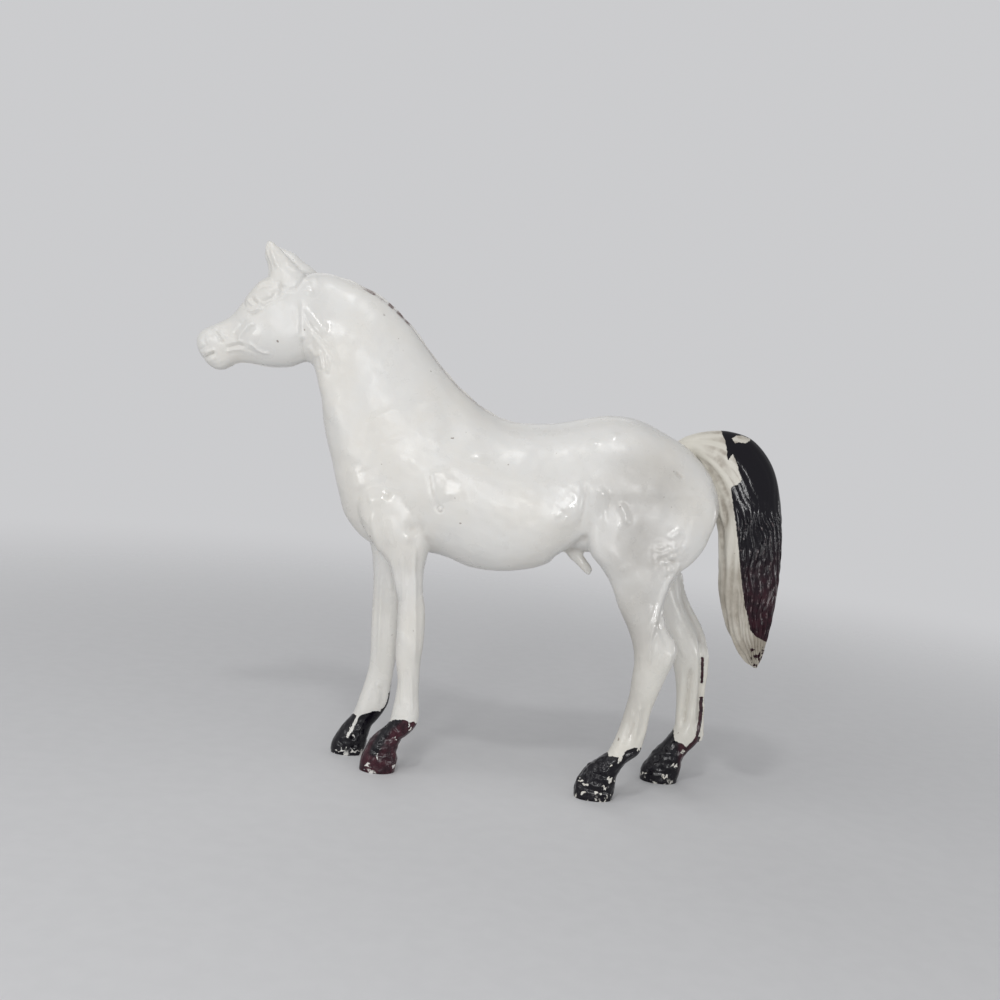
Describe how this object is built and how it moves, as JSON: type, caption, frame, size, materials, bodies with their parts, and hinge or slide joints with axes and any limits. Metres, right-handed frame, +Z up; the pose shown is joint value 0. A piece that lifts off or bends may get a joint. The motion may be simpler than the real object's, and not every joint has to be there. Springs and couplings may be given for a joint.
{
  "type": "toy farm animal figure",
  "caption": "Standing toy horse of moulded plastic, two glued half shells and a plugged-in tail, with painted hooves and tail.",
  "frame": {"origin": "middle of the figure's box, on the surface that the hooves stand on", "axes": "+Z up, -X the way the horse faces, -Y its left side"},
  "size_m": [0.12, 0.0222, 0.1017],
  "materials": {
    "body_plastic": "glossy white moulded plastic, black painted hooves, light wear",
    "tail_paint": "black and maroon paint over ivory plastic"
  },
  "bodies": {
    "root": {"left_body_half": "body_plastic", "right_body_half": "body_plastic", "tail": "tail_paint"}
  },
  "joints": []
}
